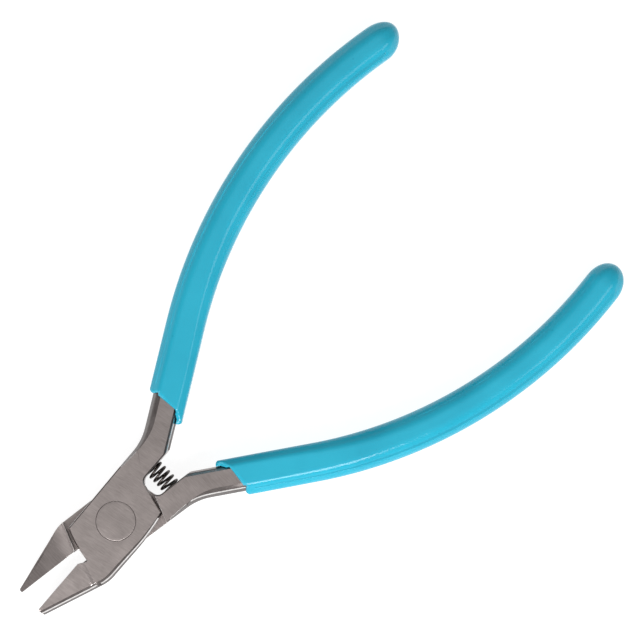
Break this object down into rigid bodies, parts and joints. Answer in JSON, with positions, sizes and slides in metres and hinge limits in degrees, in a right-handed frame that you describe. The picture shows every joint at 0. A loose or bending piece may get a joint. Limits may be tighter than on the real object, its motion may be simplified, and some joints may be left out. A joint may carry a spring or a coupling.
{
  "type": "diagonal cutting pliers",
  "caption": "Small lap-jointed diagonal cutters with tapered relieved jaws, a coil return spring between the tangs and dipped vinyl grips; squeezing the grips shears wire.",
  "frame": {"origin": "the pivot axis where it leaves the underside of the head, on the rivet's lower face", "axes": "+X along the tool towards the jaw tips, +Z along the pivot axis and out of the head's upper face, Y across the tool; the upper lever's jaw is on the +Y side and its handle on the -Y side"},
  "size_m": [0.1228, 0.071, 0.0078],
  "materials": {
    "lever_steel": "brushed across the tool, edges worn bright",
    "rivet_steel": "ground flush and brushed with the head",
    "spring_steel": "dark oiled music wire",
    "vinyl": "smooth glossy dipped vinyl"
  },
  "bodies": {
    "upper_side": {"upper_lever": "lever_steel", "upper_grip": "vinyl", "pivot_rivet": "rivet_steel", "return_spring": "spring_steel"},
    "lower_side": {"lower_lever": "lever_steel", "lower_grip": "vinyl"}
  },
  "joints": [
    {"name": "jaw_pivot", "type": "hinge", "parent": "upper_side", "child": "lower_side", "pos_m": [0, 0, 0.003], "axis": [0, 0, 1], "range_deg": [0, 11.15], "stiffness_Nm_per_rad": 0.72, "springref_deg": -5.73, "deforming": ["return_spring"]}
  ]
}
